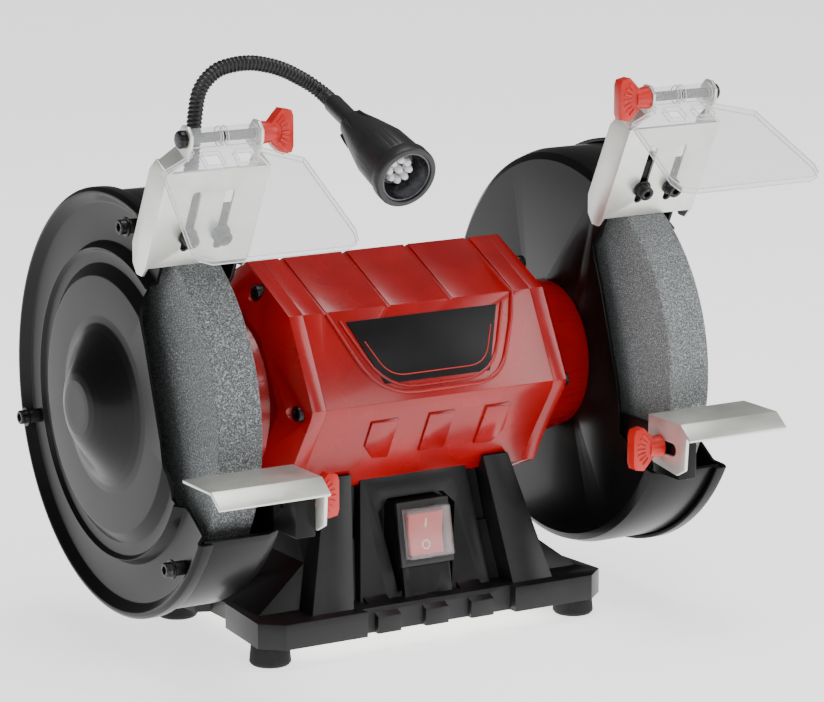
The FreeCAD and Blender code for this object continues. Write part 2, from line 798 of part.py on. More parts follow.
def switch_point(height):
    """The y and z of a point of the leaning plane that the switch is set in."""
    return "-switch_face + (%s - switch_middle) * tan(switch_lean)" % height, height


def base_casting():
    body = new_body("base")
    slab(body, "XY_Plane", base_outline(), "foot_height", "plate_height")
    loft(body, "XY_Plane", block("panel_outer_foot", "web_depth"), "foot_height + plate_height - 1",
         block("panel_outer_top", "web_depth_top"), "tower_top")
    loft(body, "XY_Plane", block("face_half_foot", "face_front_foot"), "foot_height + plate_height - 1",
         block("face_half_top", "face_front_top"), "tower_top")
    loft(body, "XY_Plane", block("wing_foot", "wing_front"), "foot_height + plate_height - 1",
         block("wing_top - 14", "wing_front - 8"), "wing_height")
    for side in (-1, 1):
        foot = rectangle(side_x(side, "panel_inner_foot"), side_x(side, "panel_outer_foot"),
                         "-panel_front_foot", "panel_front_foot")
        top = rectangle(side_x(side, "panel_inner_top"), side_x(side, "panel_outer_top"),
                        "-panel_front_top", "panel_front_top")
        loft(body, "XY_Plane", foot, "foot_height + plate_height - 1", top, "tower_top")
    half = [("bay_half_foot", "tower_foot"), ("bay_half_shoulder", "bay_shoulder"), ("bay_half_top", "bay_top")]
    bay = half + [("-" + x, z) for x, z in reversed(half)]
    cut_outline(body, "XZ_Plane", bay, "bay_floor + 20", "40")
    front = [("-bay_floor + 1", "tower_foot - 5"), switch_point("tower_foot - 5"), switch_point("block_top"),
             ("-bay_floor + 1", "block_top")]
    slab(body, "YZ_Plane", front, "-block_half", "2 * block_half")
    for front in (-1, 1):
        for middle in ("-31", "-2", "26"):
            ramp = [(side_x(front, "recess_front - 5"), "foot_height"), (side_x(front, "recess_front + 4"), "foot_height"),
                    (side_x(front, "recess_front + 4"), "foot_height + 9"), (side_x(front, "face_front_foot - 1"), "tower_foot"),
                    (side_x(front, "face_front_foot - 6"), "tower_foot")]
            slab(body, "YZ_Plane", ramp, middle + " - 7", "14")
    cut_outline(body, "XY_Plane", block("36", "27"), "foot_height + 20", "76")
    cut_outline(body, "XY_Plane", block("80", "45"), "foot_height", "14")
    cut_outline(body, "YZ_Plane", section(), "0", "400")
    cut_outline(body, "XZ_Plane", rectangle("-pocket_half", "pocket_half", "switch_middle - pocket_half_height",
                                            "switch_middle + pocket_half_height"), "switch_face", "20")
    cut_circles(body, "XZ_Plane", [("0", "gland_height")], "7.1", "-face_front_foot + 6", "40")
    cut_circles(body, "XY_Plane", FEET, "bolt_radius", "foot_height", "2 * bolt_depth")
    cut_circles(body, "XY_Plane", FEET, "6.1", "foot_height", "8")
    node(body, "base_casting")


def base_details():
    body = new_body("bottom")
    slab(body, "XY_Plane", block("80", "60"), "foot_height - 1.5", "1.45")
    node(body, "base_bottom_plate")
    feet = [turned_up("foot_%d" % index, [
        ("bolt_radius", "0"), ("foot_radius - 1.2", "0"), ("foot_radius", "1.5"), ("foot_radius - 1", "foot_height - 0.05"),
        ("6", "foot_height - 0.05"), ("6", "foot_height + 3.9"), ("bolt_radius", "foot_height + 3.9")], x, y)
        for index, (x, y) in enumerate(FEET)]
    group("rubber_feet", feet)
    gland = new_body("gland")
    disc(gland, "XZ_Plane", "0", "gland_height", "7", "-face_front_foot - 0.5", "14")
    disc(gland, "XZ_Plane", "0", "gland_height", "10", "-face_front_foot - 6.5", "6")
    disc(gland, "XZ_Plane", "0", "gland_height", "7.5", "-face_front_foot - 16", "10")
    cut_circles(gland, "XZ_Plane", [("0", "gland_height")], "3.6", "-face_front_foot", "80")
    node(gland, "cable_gland")
    can = turned("can", [("-22", "0"), ("22", "0"), ("22", "12"), ("-22", "12")], "10", "foot_height + 28")
    node(can, "run_capacitor")


# Switch

def switch_frame(body, depth="0", tilt="0"):
    """Stands a body in the plane of the switch, this far behind it."""
    lean(body, "0", "-switch_face + (%s) * cos(switch_lean)" % depth,
         "switch_middle - (%s) * sin(switch_lean)" % depth, "(%s) - switch_lean" % tilt)


def switch():
    body = new_body("bezel")
    slab(body, "XZ_Plane", rectangle("-bezel_half", "bezel_half", "-bezel_half_height", "bezel_half_height"),
         "0.05", "bezel_thickness")
    cut_outline(body, "XZ_Plane", rectangle("-rocker_half_width - 0.4", "rocker_half_width + 0.4",
                                            "-rocker_half_height - 1", "rocker_half_height + 1"), "0", "20")
    switch_frame(body)
    node(body, "switch_bezel")
    body = new_body("rocker")
    slab(body, "YZ_Plane", [("5", "-6"), ("-3", "-rocker_half_height"), ("-6.5", "-rocker_half_height"),
                            ("-4.5", "0"), ("-6.5", "rocker_half_height"), ("-3", "rocker_half_height"), ("5", "6")],
         "-rocker_half_width", "2 * rocker_half_width")
    disc(body, "YZ_Plane", "0", "0", "pivot_radius", "0.2 - pocket_half", "2 * pocket_half - 0.4")
    switch_frame(body, "rocker_depth", "rocker_tilt")
    node(body, "switch_rocker")
    body = new_body("boot")
    front = "bezel_thickness + 0.1"
    inside = "(boot_half - boot_wall)"
    slab(body, "XZ_Plane", rectangle("-boot_half", "boot_half", "-boot_half", "boot_half"), front, "boot_rise")
    cut_outline(body, "XZ_Plane", rectangle("-" + inside, inside, "-" + inside, inside),
                front, "2 * boot_rise - 2 * boot_wall")
    switch_frame(body)
    node(body, "switch_dust_cover")


# Spark deflectors, each carrying a hinged eye shield

def deflector_frame(body, side):
    lean(body, side_x(side, "deflector_centre"), "deflector_y", "shaft_height + deflector_z", "deflector_lean")


def deflector(side):
    body = new_body(side_name(side) + "_deflector")
    gauge = "deflector_gauge"
    half = "deflector_half"
    slab(body, "XZ_Plane", rectangle("-" + half, half, "0", "deflector_height"), "-" + gauge, gauge)
    wing = [("0", "0"), ("2", "-6"), ("7", "-8"), ("13", "-5"), ("flange_depth", "4"),
            ("flange_depth", "deflector_height - 8"), ("flange_depth - 4", "deflector_height"), ("0", "deflector_height")]
    ear = [("-0.6", "deflector_height + 7"), ("hinge_back - ear_radius", "hinge_up"),
           ("hinge_back - 5", "hinge_up + 5"), ("hinge_back", "hinge_up + ear_radius"),
           ("hinge_back + 5", "hinge_up + 5"), ("hinge_back + ear_radius", "hinge_up"),
           ("flange_depth - 5", "deflector_height + 7")]
    inner = "ear_offset"
    for hand in (-1, 1):
        slab(body, "YZ_Plane", wing, half + " - " + gauge if hand > 0 else "-" + half, gauge)
        slab(body, "YZ_Plane", ear, inner + " - " + gauge if hand > 0 else "-" + inner, gauge)
        bend = [(side_x(hand, half), "deflector_height - 0.5"), (side_x(hand, half + " - " + gauge), "deflector_height - 0.5"),
                (side_x(hand, inner + " - " + gauge), "deflector_height + 7.5"),
                (side_x(hand, inner), "deflector_height + 7.5")]
        slab(body, "XZ_Plane", bend, "-12.5", "12.5")
    for place in ("-slot_spacing", "slot_spacing"):
        slot = rectangle(place + " - slot_radius", place + " + slot_radius", "slot_low + slot_radius",
                         "slot_high - slot_radius")
        cut_outline(body, "XZ_Plane", slot, "0", "6")
        cut_circles(body, "XZ_Plane", [(place, "slot_low + slot_radius")], "slot_radius", "0", "6")
        cut_circles(body, "XZ_Plane", [(place, "slot_high - slot_radius")], "slot_radius", "0", "6")
    cut_circles(body, "YZ_Plane", [("hinge_back", "hinge_up")], "hinge_bolt_radius + fit_clearance", "0", "90")
    deflector_frame(body, side)
    node(body, side_name(side) + "_spark_deflector")


def deflector_screws():
    screws = []
    for side in (-1, 1):
        for place in (-1, 1):
            x = "%d * slot_spacing" % place
            body = new_body("clamp_screw")
            disc(body, "XZ_Plane", x, "clamp_height", "5", "0.1", "1")
            disc(body, "XZ_Plane", x, "clamp_height", "3.9", "1.05", "5")
            cut_outline(body, "XZ_Plane", hexagon(x, "clamp_height", "3.6"), "6.05", "6")
            disc(body, "XZ_Plane", x, "clamp_height", "slot_radius - 0.3", "-1.7", "2")
            deflector_frame(body, side)
            screws.append(body)
    group("deflector_screws", screws)


def hinge_line():
    return leaning("hinge_up", "hinge_back")


def hinge_hardware(side):
    y, z = hinge_line()
    outer = "deflector_centre + ear_offset"
    inner = "deflector_centre - ear_offset"
    bolt = turned(side_name(side) + "_bolt", sided(side, [
        (inner + " - knob_hub_length", "0"), (outer + " + 4", "0"), (outer + " + 4", "3.6"), (outer + " + 3", "4.5"),
        (outer + " + 0.1", "4.5"), (outer + " + 0.1", "hinge_bolt_radius"),
        (inner + " - knob_hub_length", "hinge_bolt_radius")]), y, z)
    node(bolt, side_name(side) + "_hinge_bolt")
    knob(side, side_name(side) + "_shield_knob", inner + " - 0.3", y, z, "hinge_bolt_radius + fit_clearance",
         "knob_hub_length + 0.3")


def knob(side, label, seat, y, z, bore, depth):
    """A winged knob whose hub starts at the seat and points at the motor."""
    body = turned(label + "_body", sided(side, [
        (seat, "0"), (seat + " - knob_hub_length", "0"), (seat + " - knob_hub_length", "knob_hub_radius - 1"),
        (seat, "knob_hub_radius")]), y, z)
    wing = [(seat + " - knob_hub_length + 3", "-4"), (seat + " - knob_hub_length - 1", "-knob_wing + 3"),
            (seat + " - knob_hub_length - 4", "-knob_wing"), (seat + " - knob_length + 1", "-knob_wing + 1"),
            (seat + " - knob_length", "-knob_wing + 4"), (seat + " - knob_length", "knob_wing - 4"),
            (seat + " - knob_length + 1", "knob_wing - 1"), (seat + " - knob_hub_length - 4", "knob_wing"),
            (seat + " - knob_hub_length - 1", "knob_wing - 3"), (seat + " - knob_hub_length + 3", "4")]
    drawing = drawing_on(body, "XZ_Plane", ("0", z, "-(%s)" % y))
    add_polygon(drawing, sided(side, wing))
    pad(body, drawing, "knob_thickness", symmetric=True)
    cut_circles(body, "YZ_Plane", [(y, z)], bore, side_x(side, seat), "2 * (%s)" % depth)
    return node(body, label)


def eye_shield(side):
    body = new_body(side_name(side) + "_shield")
    plate = [("-shield_neck", "0"), ("-shield_neck", "-8"), ("-shield_shoulder", "-18"), ("-shield_half", "-shield_length + 10"),
             ("-shield_half + 2", "-shield_length + 3"), ("-shield_half + 8", "-shield_length")]
    points = plate + [("-(%s)" % x, y) for x, y in reversed(plate)]
    slab(body, "XY_Plane", points, "-barrel_radius + 0.4", "shield_thickness")
    reach = "ear_offset - deflector_gauge - 0.4"
    for start, length in (("-(%s)" % reach, "%s - 1.5" % reach), ("1.5", "%s - 1.5" % reach)):
        disc(body, "YZ_Plane", "0", "0", "barrel_radius", start, length)
    cut_circles(body, "YZ_Plane", [("0", "0")], "hinge_bolt_radius + fit_clearance", "0", "90")
    for x in ("-shield_neck + 9", "shield_neck - 9"):
        cut_outline(body, "XY_Plane", rectangle(x + " - window_half", x + " + window_half", "-17", "-8"), "-4", "10")
    y, z = hinge_line()
    lean(body, side_x(side, "deflector_centre"), y, z, side_name(side) + "_shield_tilt")
    node(body, side_name(side) + "_eye_shield")


# Tool rests

def tool_rest(side):
    body = new_body(side_name(side) + "_rest")
    high = "shaft_height + rest_top"
    low = high + " - rest_gauge"
    profile = [("rest_back", low), ("rest_back", high), ("rest_front", high),
               ("rest_front - rest_lip", high + " - 7"), ("rest_front - rest_lip + 1.1", high + " - 8.4"),
               ("rest_front + 0.4", low)]
    start = "rest_inner" if side > 0 else "-rest_outer"
    slab(body, "YZ_Plane", profile, start, "rest_outer - rest_inner")
    cheek = [("rest_back", high), ("rest_front", high), ("rest_front - 6", high + " - 6"),
             ("rest_front - 4.5", high + " - 24"), ("rest_front + 3", high + " - 28"),
             ("rest_back - 5", high + " - 25"), ("rest_back", high + " - 19")]
    start = "rest_inner" if side > 0 else "-rest_inner - rest_gauge"
    slab(body, "YZ_Plane", cheek, start, "rest_gauge")
    reach = "(rest_screw_radius + slot_clearance)"
    y = "rest_screw_y"
    z = "shaft_height + rest_screw_z"
    ends = [(y + " + 5", z), (y + " - 11", z)]
    middle = side_x(side, "rest_inner")
    cut_outline(body, "YZ_Plane", rectangle(ends[1][0], ends[0][0], z + " - " + reach, z + " + " + reach), middle, "8")
    cut_circles(body, "YZ_Plane", [ends[0]], reach, middle, "8")
    cut_circles(body, "YZ_Plane", [ends[1]], reach, middle, "8")
    node(body, side_name(side) + "_tool_rest")


ARM_SCREWS = [("-56", "-27"), ("-56", "-39")]


def rest_arm(side):
    body = new_body(side_name(side) + "_arm")
    web = "guard_inner + guard_gauge + 0.2"
    low = "shaft_height + arm_low"
    high = "shaft_height + arm_high"
    start = web if side > 0 else "-(%s) - 3" % web
    slab(body, "YZ_Plane", rectangle("arm_front", "-48", low, high), start, "3")
    start = "arm_inner" if side > 0 else "-arm_outer"
    slab(body, "YZ_Plane", rectangle("arm_front", "-wheel_radius - 4.5", low, high), start, "arm_outer - arm_inner")
    cut_circles(body, "YZ_Plane", [("rest_screw_y", "shaft_height + rest_screw_z")], "rest_screw_radius + fit_clearance",
                side_x(side, "wheel_offset - 20"), "20")
    node(body, side_name(side) + "_rest_arm")


def rest_knob(side):
    knob(side, side_name(side) + "_rest_knob", "rest_inner - 0.3", "rest_screw_y", "shaft_height + rest_screw_z",
         "rest_screw_radius + fit_clearance", "knob_hub_length + 0.3")


def rest_studs():
    """The studs on the arms that the rests slide along and the knobs turn on."""
    studs = []
    for side in (-1, 1):
        body = new_body("stud_" + side_name(side))
        start = "rest_inner - knob_hub_length" if side > 0 else "1 - arm_outer"
        disc(body, "YZ_Plane", "rest_screw_y", "shaft_height + rest_screw_z", "rest_screw_radius", start,
             "arm_outer - 1 - rest_inner + knob_hub_length")
        studs.append(body)
    group("rest_studs", studs)


def rest_arm_screws():
    screws = []
    for side in (-1, 1):
        for y, z in ARM_SCREWS:
            start = "guard_inner + guard_gauge + 3.25"
            screws.append(turned("arm_screw", sided(side, [
                (start, "0"), (start + " + 3", "0"), (start + " + 3", "2.6"), (start + " + 2", "4"), (start, "4")]),
                y, "shaft_height + (%s)" % z))
    group("rest_arm_screws", screws)


# Lamp

def lamp_socket():
    body = new_body("socket")
    foot = "shaft_height + drum_radius - 10"
    disc(body, "XY_Plane", "neck_x", "neck_y", "socket_radius", foot, "neck_foot - drum_radius + 9.7")
    disc(body, "XY_Plane", "neck_x", "neck_y", "socket_flange", foot, "13")
    cut_circles(body, "YZ_Plane", [(guard_y(), guard_z())], "drum_radius + 0.05", "neck_x", "60")
    cut_circles(body, "XY_Plane", [("neck_x", "neck_y")], "neck_radius - 0.9", "shaft_height + neck_foot", "22")
    node(body, "lamp_socket")


def rounded_wire(points):
    """Straight runs joined by tangent arcs as large as the runs beside them allow."""
    edges = []
    start = points[0]
    for before, corner, after in zip(points, points[1:], points[2:]):
        entering = (corner - before).normalize()
        leaving = (after - corner).normalize()
        half_turn = entering.getAngle(leaving) / 2
        reach = 0.45 * min(before.distanceToPoint(corner), corner.distanceToPoint(after))
        radius = reach / math.tan(half_turn)
        first = corner - entering * reach
        last = corner + leaving * reach
        inward = (leaving - entering).normalize()
        centre = corner + inward * (radius / math.cos(half_turn))
        middle = centre - inward * radius
        edges.append(Part.LineSegment(start, first).toShape())
        edges.append(Part.Arc(first, middle, last).toShape())
        start = last
    edges.append(Part.LineSegment(start, points[-1]).toShape())
    return Part.Wire(edges)


def lamp_neck():
    foot = FreeCAD.Vector(size("neck_x"), size("neck_y"), size("shaft_height + neck_foot"))
    route = [(0, 0, 0), (2.3, 0, 30), (5, 0, 46), (15, 0, 55.5), (33, 0, 58), (52, 0, 53.5), (68.5, 0, 44.5)]
    points = [foot + FreeCAD.Vector(*step) for step in route]
    head = FreeCAD.Vector(size("head_x"), size("head_y"), size("shaft_height + head_z"))
    aim = FreeCAD.Vector(0, -size("sin(head_tilt)"), size("cos(head_tilt)"))
    points.append(head - aim * 6)
    points.append(head - aim * 0.3)
    wire = rounded_wire(points)
    ring = Part.Wire([Part.Circle(points[0], points[1] - points[0], size("neck_radius")).toShape()])
    tube = wire.makePipeShell([ring], True, False)
    spigot = Part.makeCylinder(size("neck_radius - 0.95"), 8, foot - FreeCAD.Vector(0, 0, 8))
    item = document.addObject("Part::Feature", "lamp_neck")
    item.Shape = tube.fuse(spigot).removeSplitter()
    node(item, "lamp_neck")


def head_frame(body):
    lean(body, "head_x", "head_y", "shaft_height + head_z", "head_tilt")


def lamp_head():
    front = "head_length - ring_length"
    shell = turned_up("bell", [
        ("0", "0"), ("sleeve_radius", "sleeve_slope"), ("sleeve_radius", "sleeve_length"),
        ("sleeve_radius + 2.5", "sleeve_length + 2"),
        ("ring_radius - 5.5", "sleeve_length + 16"), ("ring_radius - 2", "sleeve_length + 32"),
        ("ring_radius - 1", front), ("ring_radius - 3", front), ("ring_radius - 4", "sleeve_length + 35"),
        ("0", "sleeve_length + 35")])
    head_frame(shell)
    node(shell, "lamp_shell")
    ring = turned_up("ring", [("ring_radius - 3", front + " + 0.05"), ("ring_radius", front + " + 0.05"),
                              ("ring_radius", "head_length - 0.8"), ("ring_radius - 0.8", "head_length"),
                              ("ring_radius - 3", "head_length")])
    head_frame(ring)
    node(ring, "lamp_ring")
    cone = turned_up("reflector", [("0", "sleeve_length + 35.05"), ("ring_radius - 4.1", "sleeve_length + 35.05"),
                                   ("ring_radius - 3.2", "head_length - 1"), ("ring_radius - 4", "head_length - 1"),
                                   ("9.5", "head_length - 12"), ("0", "head_length - 12")])
    head_frame(cone)
    node(cone, "lamp_reflector")
    leds = []
    for index in range(9):
        x = "0" if index == 8 else "5.6 * cos(%d)" % (45 * index)
        y = "0" if index == 8 else "5.6 * sin(%d)" % (45 * index)
        led = turned_up("led_%d" % index, [("0", "head_length - 11.95"), ("2", "head_length - 11.95"),
                                           ("2", "head_length - 8.5"), ("1.4", "head_length - 7.2"),
                                           ("0", "head_length - 6.7")], x, y)
        head_frame(led)
        leds.append(led)
    group("led_cluster", leds)


def name_plate():
    """A plain plate on the front upper facet, with no wording."""
    body = new_body("plate")
    slab(body, "XY_Plane", [("-31.5", "10"), ("32", "10"), ("45.8", "45"), ("-45.4", "45")], "0.05", "0.6")
    slope = "atan((bend_height - crease_height) / (crease_depth - bend_depth))"
    lean(body, "0", "-crease_depth", "shaft_height + crease_height", slope)
    node(body, "name_plate")


base_casting()
base_details()
switch()
motor_shell()
name_plate()
end_bell_screws()
stator()
rotor()
bearings()
wheels()
cover_fasteners()
guard_mount_screws()
deflector_screws()
rest_arm_screws()
rest_studs()
lamp_socket()
lamp_neck()
lamp_head()
for hand in (-1, 1):
    end_bell(hand)
    guard_drum(hand)
    guard_cover(hand)
    deflector(hand)
    hinge_hardware(hand)
    eye_shield(hand)
    tool_rest(hand)
    rest_arm(hand)
    rest_knob(hand)

document.recompute()
for item in document.Objects:
    if "Invalid" in item.State or "Error" in item.State:
        raise RuntimeError("%s failed: %s" % (item.Name, item.State))
for item in NODES:
    if item.Shape.isNull() or not item.Shape.isValid():
        raise RuntimeError("%s has no valid shape" % item.Label)
os.makedirs("parts", exist_ok=True)
for item in NODES:
    item.Shape.exportStep("parts/%s.step" % item.Label)
    print("%-24s %2d solids %10.1f mm3" % (item.Label, len(item.Shape.Solids), item.Shape.Volume))
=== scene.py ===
import bpy
import json
import math
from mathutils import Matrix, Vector


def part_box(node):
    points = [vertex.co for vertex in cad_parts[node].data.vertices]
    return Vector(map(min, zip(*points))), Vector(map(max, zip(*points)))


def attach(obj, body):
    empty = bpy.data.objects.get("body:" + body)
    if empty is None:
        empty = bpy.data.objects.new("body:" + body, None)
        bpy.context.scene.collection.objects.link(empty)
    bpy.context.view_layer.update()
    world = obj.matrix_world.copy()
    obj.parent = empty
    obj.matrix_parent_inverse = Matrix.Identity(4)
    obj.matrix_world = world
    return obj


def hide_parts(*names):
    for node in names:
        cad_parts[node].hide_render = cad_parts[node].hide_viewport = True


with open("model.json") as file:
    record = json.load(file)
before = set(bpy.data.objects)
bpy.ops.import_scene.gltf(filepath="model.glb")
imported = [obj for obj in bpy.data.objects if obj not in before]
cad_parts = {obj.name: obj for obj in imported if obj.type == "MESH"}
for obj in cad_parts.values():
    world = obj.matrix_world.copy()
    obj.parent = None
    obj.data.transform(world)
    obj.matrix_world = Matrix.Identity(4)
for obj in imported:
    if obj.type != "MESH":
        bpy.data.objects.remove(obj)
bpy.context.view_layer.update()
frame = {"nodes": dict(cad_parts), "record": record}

MM = 0.001
RECORD = frame["record"]
SLOT_OF = {part["node"]: part["material_slot"] for part in RECORD["subparts"]}
BODY_OF = {}
for body_name, members in RECORD["behaviour"]["bodies"].items():
    for member in members:
        BODY_OF[member] = body_name


def low(node):
    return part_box(node)[0]


def high(node):
    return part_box(node)[1]


def middle(node):
    return (low(node) + high(node)) / 2


AXIS = middle("shaft")


# Finishes

class Wire:
    """A value on its way between shader nodes, so that a sum on it reads as a sum."""

    def __init__(self, finish, socket):
        self.finish = finish
        self.socket = socket

    def __add__(self, other):
        return self.finish.sum("ADD", self, other)

    __radd__ = __add__

    def __mul__(self, other):
        return self.finish.sum("MULTIPLY", self, other)

    __rmul__ = __mul__


class Finish:
    """One material: its principled shader and whatever feeds it."""

    def __init__(self, name, **numbers):
        self.material = bpy.data.materials.new(name)
        self.material.use_nodes = True
        self.tree = self.material.node_tree
        self.shader = next(node for node in self.tree.nodes if node.type == "BSDF_PRINCIPLED")
        self.place = self.node("ShaderNodeTexCoord", output="Object")
        for socket, number in numbers.items():
            self.shader.inputs[socket.replace("_", " ")].default_value = number

    def node(self, kind, settings=None, sockets=None, output=0):
        made = self.tree.nodes.new(kind)
        for name, value in (settings or {}).items():
            if name == "stops":
                self.set_stops(made.color_ramp, value)
            else:
                setattr(made, name, value)
        for name, value in (sockets or {}).items():
            if isinstance(value, Wire):
                self.tree.links.new(value.socket, made.inputs[name])
            else:
                made.inputs[name].default_value = value
        return Wire(self, made.outputs[output])

    def set_stops(self, ramp, stops):
        while len(ramp.elements) < len(stops):
            ramp.elements.new(0.5)
        for element, (position, color) in zip(ramp.elements, stops):
            element.position = position
            element.color = (*color, 1.0)

    def sum(self, operation, first, second=0.0):
        return self.node("ShaderNodeMath", {"operation": operation}, {0: first, 1: second})

    def stretched(self, scale):
        return self.node("ShaderNodeMapping", {"vector_type": "POINT"},
                         {"Vector": self.place, "Scale": scale})

    def noise(self, scale, detail=3.0, rough=0.55, where=None):
        return self.node("ShaderNodeTexNoise", None,
                         {"Vector": where or self.place, "Scale": scale, "Detail": detail,
                          "Roughness": rough})

    def cells(self, scale, where=None, output="Distance"):
        return self.node("ShaderNodeTexVoronoi", None,
                         {"Vector": where or self.place, "Scale": scale}, output)

    def ramp(self, amount, *stops):
        return self.node("ShaderNodeValToRGB", {"stops": stops}, {"Fac": amount})

    def step(self, amount, start, end):
        """0 below start, 1 above end, smooth between."""
        return self.node("ShaderNodeMapRange", {"interpolation_type": "SMOOTHSTEP"},
                         {"Value": amount, "From Min": start, "From Max": end})

    def mix(self, amount, first, second):
        colors = {0: amount}
        for index, color in ((6, first), (7, second)):
            colors[index] = color if isinstance(color, Wire) else (*color, 1.0)
        return self.node("ShaderNodeMix", {"data_type": "RGBA"}, colors, 2)

    def height(self, *layers):
        """Surface relief from pairs of a height wire and its depth in millimetres."""
        normal = None
        for wire, depth in layers:
            sockets = {"Height": wire, "Strength": 1.0, "Distance": depth * MM}
            if normal:
                sockets["Normal"] = normal
            normal = self.node("ShaderNodeBump", None, sockets)
        self.feed("Normal", normal)

    def feed(self, socket, wire):
        self.tree.links.new(wire.socket, self.shader.inputs[socket])


def black_enamel():
    """Satin black paint over cast iron, with the sand texture showing through."""
    finish = Finish("black_enamel", Specular_IOR_Level=0.3, Coat_Weight=0.1, Coat_Roughness=0.3)
    grain = finish.noise(900.0, 4.0, 0.6)
    patches = finish.noise(35.0, 3.0)
    worn = finish.step(patches, 0.35, 0.7)
    finish.feed("Base Color", finish.mix(worn, (0.006, 0.006, 0.007), (0.013, 0.013, 0.015)))
    finish.feed("Roughness", finish.step(patches, 0.2, 0.9) * 0.1 + 0.33)
    finish.height((grain, 0.05), (finish.noise(160.0), 0.06))
    return finish.material


def guard_black():
    """Black stoved enamel on pressed sheet."""
    finish = Finish("guard_black", Specular_IOR_Level=0.16, Coat_Weight=0.06, Coat_Roughness=0.1)
    patches = finish.noise(18.0, 3.0)
    finish.feed("Base Color", finish.mix(patches, (0.002, 0.002, 0.002), (0.005, 0.005, 0.005)))
    finish.feed("Roughness", patches * 0.12 + 0.24)
    finish.height((finish.noise(420.0, 2.0), 0.008), (finish.noise(45.0, 2.0), 0.03))
    return finish.material


def red_enamel():
    """Glossy red enamel with a slight orange peel."""
    finish = Finish("red_enamel", Specular_IOR_Level=0.4, Coat_Weight=0.35, Coat_Roughness=0.12)
    patches = finish.noise(22.0, 3.0)
    depth = finish.step(patches, 0.3, 0.75)
    finish.feed("Base Color", finish.mix(depth, (0.30, 0.001, 0.002), (0.42, 0.003, 0.004)))
    finish.feed("Roughness", patches * 0.14 + 0.2)
    finish.height((finish.noise(520.0, 3.0), 0.014), (finish.noise(90.0, 2.0), 0.04))
    return finish.material


def zinc_sheet():
    """Zinc plate with a mottled, faintly yellow passivation and rolling marks."""
    finish = Finish("zinc_sheet", Metallic=0.75)
    streaks = finish.noise(60.0, 4.0, 0.6, finish.stretched((1.0, 12.0, 12.0)))
    clouds = finish.noise(55.0, 4.0)
    tint = finish.mix(finish.step(clouds, 0.3, 0.75), (0.72, 0.73, 0.69), (0.86, 0.85, 0.78))
    finish.feed("Base Color", tint)
    finish.feed("Roughness", streaks * 0.16 + clouds * 0.12 + 0.26)
    finish.height((streaks, 0.01), (clouds, 0.02))
    return finish.material


def abrasive(name, matrix, grit, pale, scale):
    """Bonded grey grit with dark pores and pale grains."""
    finish = Finish(name, Specular_IOR_Level=0.35)
    grains = finish.cells(scale, output="Color")
    grain_tone = finish.node("ShaderNodeRGBToBW", None, {"Color": grains})
    pores = finish.step(finish.noise(scale * 0.8, 4.0, 0.7), 0.42, 0.56)
    clouds = finish.noise(40.0, 3.0)
    tone = finish.ramp(grain_tone, (0.18, matrix), (0.5, grit), (0.82, pale))
    dark = tuple(channel * 0.45 for channel in matrix)
    speckled = finish.mix(pores, dark, tone)
    finish.feed("Base Color", finish.mix(clouds * 0.25, speckled, grit))
    finish.feed("Roughness", grain_tone * 0.25 + 0.65)
    finish.height((pores, 0.3), (grain_tone, 0.12))
    return finish.material


def red_plastic():
    """Moulded red plastic, a little scuffed."""
    finish = Finish("knob_red", Coat_Weight=0.15, Coat_Roughness=0.2)
    patches = finish.noise(120.0, 3.0)
    finish.feed("Base Color", finish.mix(patches, (0.55, 0.008, 0.005), (0.68, 0.015, 0.008)))
    finish.feed("Roughness", patches * 0.2 + 0.26)
    finish.height((finish.noise(1500.0, 2.0), 0.012))
    return finish.material


def black_plastic():
    """Black plastic with a fine moulded grain."""
    finish = Finish("black_plastic")
    grain = finish.noise(1600.0, 3.0)
    patches = finish.noise(80.0, 2.0)
    finish.feed("Base Color", finish.mix(patches, (0.010, 0.010, 0.011), (0.020, 0.020, 0.022)))
    finish.feed("Roughness", patches * 0.15 + 0.34)
    finish.height((grain, 0.02))
    return finish.material


def black_rubber():
    finish = Finish("black_rubber", Specular_IOR_Level=0.3)
    dust = finish.noise(220.0, 4.0)
    finish.feed("Base Color", finish.mix(dust, (0.010, 0.010, 0.010), (0.028, 0.028, 0.028)))
    finish.feed("Roughness", dust * 0.15 + 0.7)
    finish.height((dust, 0.04))
    return finish.material


def black_oxide():
    """Blackened steel fasteners, rubbed bright in places."""
    finish = Finish("dark_screws", Metallic=0.85)
    wear = finish.noise(700.0, 3.0)
    rubbed = finish.step(wear, 0.5, 0.8)
    finish.feed("Base Color", finish.mix(rubbed, (0.025, 0.025, 0.027), (0.11, 0.11, 0.115)))
    finish.feed("Roughness", wear * 0.2 + 0.24)
    finish.height((wear, 0.01))
    return finish.material


def turned_steel(name, first, second, rough):
    """Machined steel with fine rings about the shaft."""
    finish = Finish(name, Metallic=1.0)
    rings = finish.noise(150.0, 3.0, 0.6, finish.stretched((9.0, 1.0, 1.0)))
    finish.feed("Base Color", finish.mix(rings, first, second))
    finish.feed("Roughness", rings * 0.2 + rough)
    finish.height((rings, 0.01))
    return finish.material


def clear_plastic(name, tint, rough, scratch, clear):
    """Clear moulded plastic with faint handling marks; clear is its share of open light."""
    finish = Finish(name, IOR=1.35, Specular_IOR_Level=0.5)
    smears = finish.noise(28.0, 4.0, 0.6, finish.stretched((1.0, 2.5, 2.5)))
    finish.feed("Base Color", finish.mix(smears, tint, (1.0, 1.0, 1.0)))
    finish.feed("Roughness", finish.step(smears, 0.45, 0.8) * scratch + rough)
    finish.feed("Alpha", finish.step(smears, 0.3, 0.9) * 0.06 + (1.0 - clear))
    return finish.material


